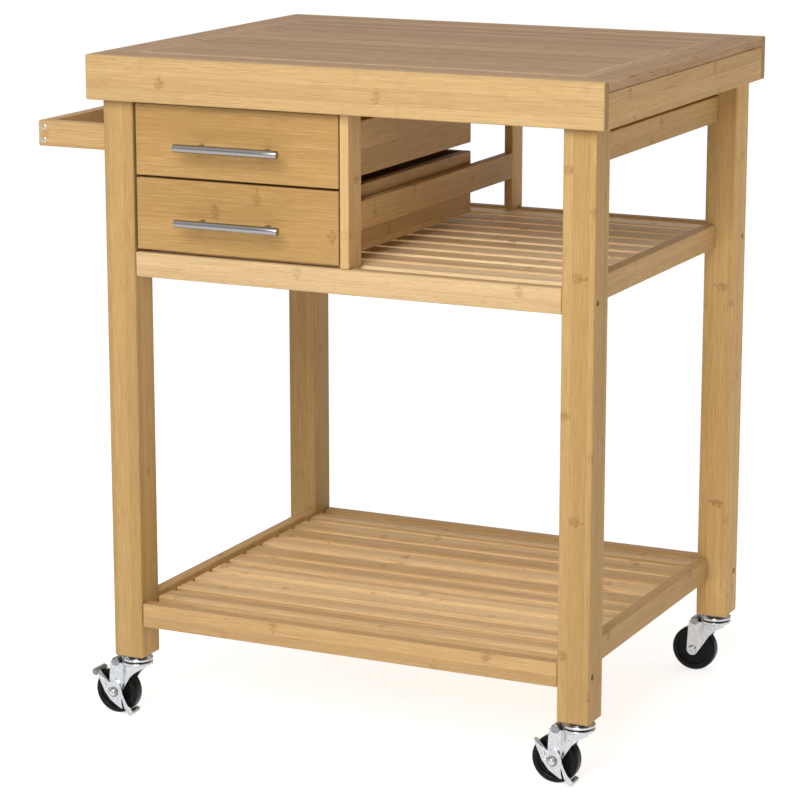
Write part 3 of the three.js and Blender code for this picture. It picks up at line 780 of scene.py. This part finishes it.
def caster_fork(corner, x, y):
    mesh = bmesh.new()
    crown = [(0, 66.4), (13.5, 66.4), (16.4, 66.9), (18.6, 68.2), (19.9, 69.6), (20.25, 70.9),
             (20.1, 71.9), (19.6, 72.4), (18.8, 72.6), (17.8, 72.5), (17.0, 72.0), (0, 72.0)]
    turned(mesh, millimetres(crown), "z", (x, y, 0), 64)
    # The bridge between the cheeks, behind the crown.
    bridge = [(-31.5, -11), (-6, -11), (-6, 11), (-31.5, 11)]
    prism(mesh, [(x + a * MM, y + b * MM) for a, b in bridge], 67.2 * MM, 69.4 * MM)
    for side in (-1, 1):
        cheek(mesh, x, y, side)
    # The rolled cross pin behind the crown, with a domed end on each side, in the darker zinc: painted
    # shade.
    r = 5.7
    dome = [(0, 15.6), (r * 0.5, 15.5), (r * 0.82, 15.2), (r * 0.97, 14.7), (r, 14.0), (r, 12.6),
            (r - 0.3, 12.0)]
    turned(mesh, millimetres(both_ends(dome)), "y", (x - 25.0 * MM, y, 71.0 * MM), 40, material=1)
    finished(f"caster_{corner}_pressed_fork", mesh, [ZINC, ZINC_PAINTED_SHADE], f"caster_{corner}_swivel",
             replaces=[f"caster_{corner}_fork"], bevel=0.0003, smooth=24)


def caster_axle(corner, x, y, braked):
    """The axle bolt, which has a nut over the lever on a braked caster and a recessed head on the others."""
    mesh = bmesh.new()
    centre = (x - TRAIL, y, AXLE_Z)
    steps = 40
    if braked:
        # The shaft stops behind the lever's plate, and the nut starts in front of it, on a washer in the
        # darker zinc that paints a ring of shade round the nut.
        start = 15.6
        head = [(3.2, 12.0), (3.2, 13.1), (0, 13.1)]
        washer = [(0, start), (6.6, start), (6.8, start + 0.4), (6.5, start + 0.9)]
        nut = [(4.6, start + 1.0), (4.7, start + 2.0), (4.4, start + 3.0), (3.6, start + 3.9),
               (2.4, start + 4.4), (1.1, start + 4.65), (0, start + 4.7)]
        faces = turned(mesh, millimetres(washer + nut, -1), "y", centre, steps)
        # The washer's faces take the darker zinc: painted shade.
        for face in faces[:len(washer) * steps]:
            face.material_index = 1
    else:
        start = 12.9
        head = [(3.2, 12.0), (3.2, start), (5.6, start), (5.9, start + 0.5), (5.7, start + 1.3),
                (4.9, start + 2.0), (3.6, start + 2.4), (2.3, start + 2.5), (1.9, start + 1.6),
                (0, start + 1.2)]
    tail = [(0, 16.4), (2.6, 16.4), (3.2, 15.9), (3.2, 15.7), (5.4, 15.6), (6.1, 15.1), (6.2, 13.1),
            (3.2, 13.1), (3.2, 12.0)]
    profile = [(a, -h) for a, h in reversed(head)] + [(a, h) for a, h in reversed(tail)]
    turned(mesh, millimetres(profile), "y", centre, steps)
    finished(f"caster_{corner}_axle_bolt", mesh, [ZINC, ZINC_PAINTED_SHADE], f"caster_{corner}_swivel",
             replaces=[f"caster_{corner}_axle"])


def brake_lever(corner, x, y):
    """A stamped lever over the outer cheek: a plate, a toe flange above and a curved tail to the tread."""
    mesh = bmesh.new()
    ax, az = x - TRAIL, AXLE_Z
    front, back = y - 15.3 * MM, y - 13.3 * MM

    def stamped(outline, near, far, material=0):
        prism(mesh, [(ax + a * MM, az + b * MM) for a, b in outline], near, far, axis="y", material=material)

    plate = [(-23.8, 24.0), (-20.6, 15.5), (-13.2, -0.4), (-4.8, -11.0), (2.6, -16.0), (11.0, -20.8),
             (13.0, -20.2), (11.4, -14.0), (11.2, -6.8), (12.4, 1.7), (10.2, 9.6), (5.6, 14.6),
             (1.6, 16.2), (-2.0, 13.6), (-6.0, 11.8), (-14.0, 16.6)]
    stamped(plate, front, back)
    # The toe flange turns back from the plate's upper edge, in the shade of the leg, and takes the darker
    # zinc as painted shade.
    toe = [(-23.8, 24.2), (-14.0, 16.8), (-6.4, 12.0), (-7.4, 13.9), (-15.0, 21.6), (-19.0, 26.4),
           (-22.6, 27.2)]
    stamped(toe, front + 0.6 * MM, front + 2.1 * MM, material=1)
    # The tail curves down beside the tread and ends in a round foot, whose shoe reaches over the tread.
    tail = [(10.0, 2.0), (12.6, -1.0), (15.6, -8.0), (19.6, -15.4), (24.4, -20.6)]
    foot = []
    for degrees in range(50, -170, -20):
        a = math.radians(degrees)
        foot.append((23.4 + 3.9 * math.cos(a), -24.6 + 3.9 * math.sin(a)))
    inner = [(15.4, -20.2), (12.8, -12.0), (10.4, -5.0)]
    stamped(tail + foot + inner, front + 0.6 * MM, front + 2.2 * MM)
    # The shoe takes the darker zinc too: painted shade.
    shoe = [(21.6, -21.6), (26.6, -23.6), (24.8, -27.6), (22.0, -26.6), (23.4, -24.0)]
    stamped(shoe, front + 2.0 * MM, front + 22.0 * MM, material=1)
    for bx, bz in ((-11.4, 8.2), (-9.0, 3.0)):
        boss = [(2.5, 15.1), (2.2, 15.9), (1.5, 16.3), (1.1, 16.2), (0.8, 15.6), (0, 15.5)]
        turned(mesh, millimetres(boss, -1), "y", (ax + bx * MM, y, az + bz * MM), 20)
    finished(f"caster_{corner}_brake_lever", mesh, [ZINC, ZINC_PAINTED_SHADE], f"caster_{corner}_brake",
             replaces=[f"caster_{corner}_brake"], bevel=0.0004, smooth=40)


def lever_bar(corner, x, y):
    """The round bar at the toe of a lever, which lies across the tread."""
    mesh = bmesh.new()
    end = [(0, 16.2), (1.6, 16.1), (1.9, 15.5), (2.9, 15.5), (3.3, 16.0), (4.2, 15.8), (4.7, 15.0)]
    bar = end + [(4.7, -8.0), (4.1, -8.7), (0, -8.7)]
    centre = (x - TRAIL - 26.3 * MM, y, AXLE_Z + 23.4 * MM)
    turned(mesh, millimetres(bar, -1), "y", centre, 36)
    # The bar is all in the darker zinc: painted shade.
    finished(f"caster_{corner}_lever_bar", mesh, [ZINC_PAINTED_SHADE], f"caster_{corner}_brake")


for corner in CORNERS:
    low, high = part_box(f"leg_{corner}")
    x, y = (low.x + high.x) / 2, (low.y + high.y) / 2
    braked = corner.startswith("front")
    caster_wheel(corner, x, y)
    caster_stem(corner, x, y)
    caster_fork(corner, x, y)
    caster_axle(corner, x, y, braked)
    if braked:
        brake_lever(corner, x, y)
    if corner == "front_left":
        lever_bar(corner, x, y)


# ---- floor, light and camera -------------------------------------------------------------------
def pale_floor():
    t = Tree("pale_floor")
    t.surface(
        Base_Color=(0.5, 0.5, 0.5, 1.0),
        Roughness=0.9,
        Specular_IOR_Level=0.0,
        Emission_Color=(1.0, 1.0, 1.0, 1.0),
        Emission_Strength=0.72,
    )
    bpy.ops.mesh.primitive_plane_add(size=120, location=(0, 0, 0))
    floor = bpy.context.active_object
    floor.name = "floor"
    floor.data.materials.append(t.material)
    floor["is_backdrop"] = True


def white_backdrop():
    """A far white shell behind the object. Only the camera sees it, so it lights nothing."""
    t = Tree("white_backdrop")
    t.surface(
        Base_Color=(0.0, 0.0, 0.0, 1.0),
        Roughness=1.0,
        Specular_IOR_Level=0.0,
        Emission_Color=(1.0, 1.0, 1.0, 1.0),
        Emission_Strength=1.0,
    )
    mesh = bmesh.new()
    bmesh.ops.create_icosphere(mesh, subdivisions=4, radius=58)
    data = bpy.data.meshes.new("backdrop")
    mesh.to_mesh(data)
    mesh.free()
    data.materials.append(t.material)
    backdrop = bpy.data.objects.new("backdrop", data)
    bpy.context.scene.collection.objects.link(backdrop)
    backdrop.visible_diffuse = False
    backdrop.visible_glossy = False
    backdrop.visible_transmission = False
    backdrop.visible_shadow = False
    backdrop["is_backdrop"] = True


def soft_lamp(name, at, towards, size, watts, colour):
    lamp = bpy.data.lights.new(name, "AREA")
    lamp.shape = "SQUARE"
    lamp.size = size
    lamp.energy = watts
    lamp.color = colour
    holder = bpy.data.objects.new(name, lamp)
    bpy.context.scene.collection.objects.link(holder)
    holder.location = at
    holder.rotation_euler = (Vector(at) - Vector(towards)).to_track_quat("Z", "Y").to_euler()


def studio():
    scene = bpy.context.scene
    scene.view_settings.view_transform = "Standard"
    scene.view_settings.look = "None"
    world = bpy.data.worlds.new("studio")
    scene.world = world
    world.use_nodes = True
    # Brighter overhead and on the left, dim on the right, where the room is open.
    tree = world.node_tree
    direction = tree.nodes.new("ShaderNodeTexCoord")
    lean = tree.nodes.new("ShaderNodeVectorMath")
    lean.operation = "DOT_PRODUCT"
    lean.inputs[1].default_value = (-0.50, 0.10, 0.80)
    tree.links.new(direction.outputs["Generated"], lean.inputs[0])
    level = tree.nodes.new("ShaderNodeMapRange")
    level.interpolation_type = "SMOOTHSTEP"
    for socket, number in zip(list(level.inputs)[1:5], (-0.5, 0.9, 0.03, 0.78)):
        socket.default_value = number
    tree.links.new(lean.outputs["Value"], level.inputs[0])
    background = tree.nodes["Background"]
    background.inputs["Color"].default_value = (1.0, 1.0, 1.0, 1.0)
    tree.links.new(level.outputs[0], background.inputs["Strength"])
    soft_lamp("key", (0.35, -2.30, 1.95), (0.0, 0.0, 0.60), 1.4, 60, (1.0, 0.99, 0.97))
    soft_lamp("warm_side", (2.9, 0.5, 0.75), (0.0, 0.0, 0.45), 1.3, 11, (1.0, 0.76, 0.42))


def camera():
    data = bpy.data.cameras.new("camera")
    data.lens = CAMERA["lens"]
    data.sensor_width = 36
    data.clip_end = 200
    eye = bpy.data.objects.new("camera", data)
    bpy.context.scene.collection.objects.link(eye)
    yaw, pitch = math.radians(CAMERA["yaw"]), math.radians(CAMERA["pitch"])
    eye.location = CAMERA["at"]
    eye.rotation_euler = (math.pi / 2 - pitch, 0, yaw)
    bpy.context.scene.camera = eye


pale_floor()
white_backdrop()
studio()
camera()

low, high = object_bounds()
